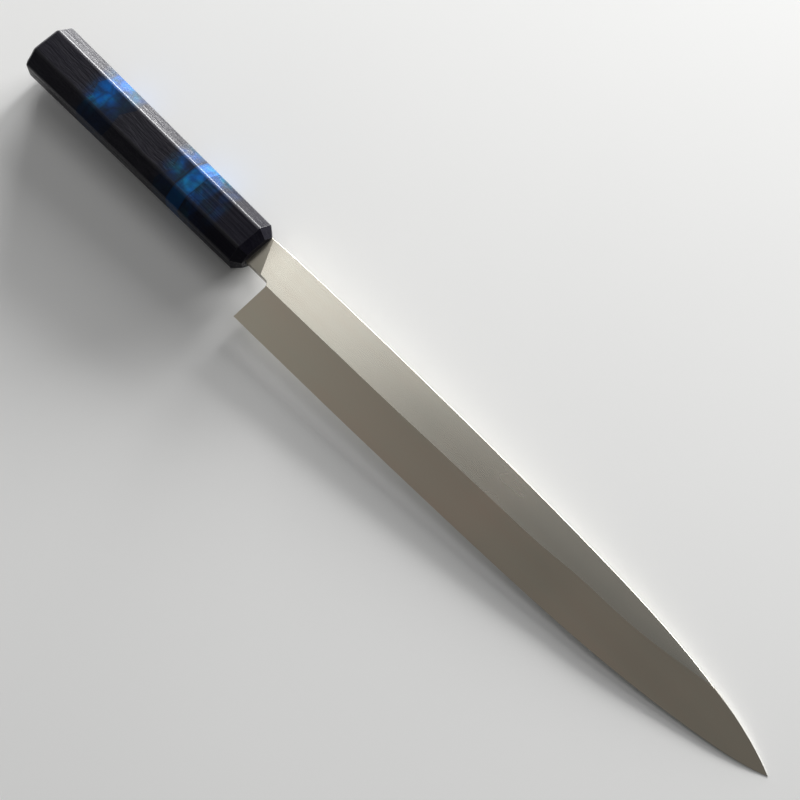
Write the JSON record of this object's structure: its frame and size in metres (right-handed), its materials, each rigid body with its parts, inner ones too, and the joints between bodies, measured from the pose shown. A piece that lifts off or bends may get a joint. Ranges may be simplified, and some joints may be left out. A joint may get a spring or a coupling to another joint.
{
  "type": "yanagiba knife",
  "caption": "Long single-bevel slicing knife with a plain steel blade, hollow-ground back and an eight-sided handle of black wood and blue resin.",
  "frame": {"origin": "on the surface that the knife lies on, under the middle of its length and height", "axes": "+X along the handle's axis to the tip, +Y to the spine, +Z out of the bevelled side"},
  "size_m": [0.4424, 0.0406, 0.0208],
  "materials": {
    "steel": "satin, ground along and across the blade",
    "black_wood": "black stain, oiled satin",
    "blue_resin": "satin, clear blue",
    "cloudy_resin": "satin, cloudy blue",
    "dowel_wood": "plain",
    "glue": "hardened, dull"
  },
  "bodies": {
    "root": {"blade": "steel", "ferrule": "black_wood", "resin_ring": "blue_resin", "front_resin": "cloudy_resin", "middle_wood": "black_wood", "rear_resin": "cloudy_resin", "rear_wood": "black_wood", "tang_dowel": "dowel_wood", "tang_adhesive": "glue", "mouth_seal": "glue"}
  },
  "joints": []
}
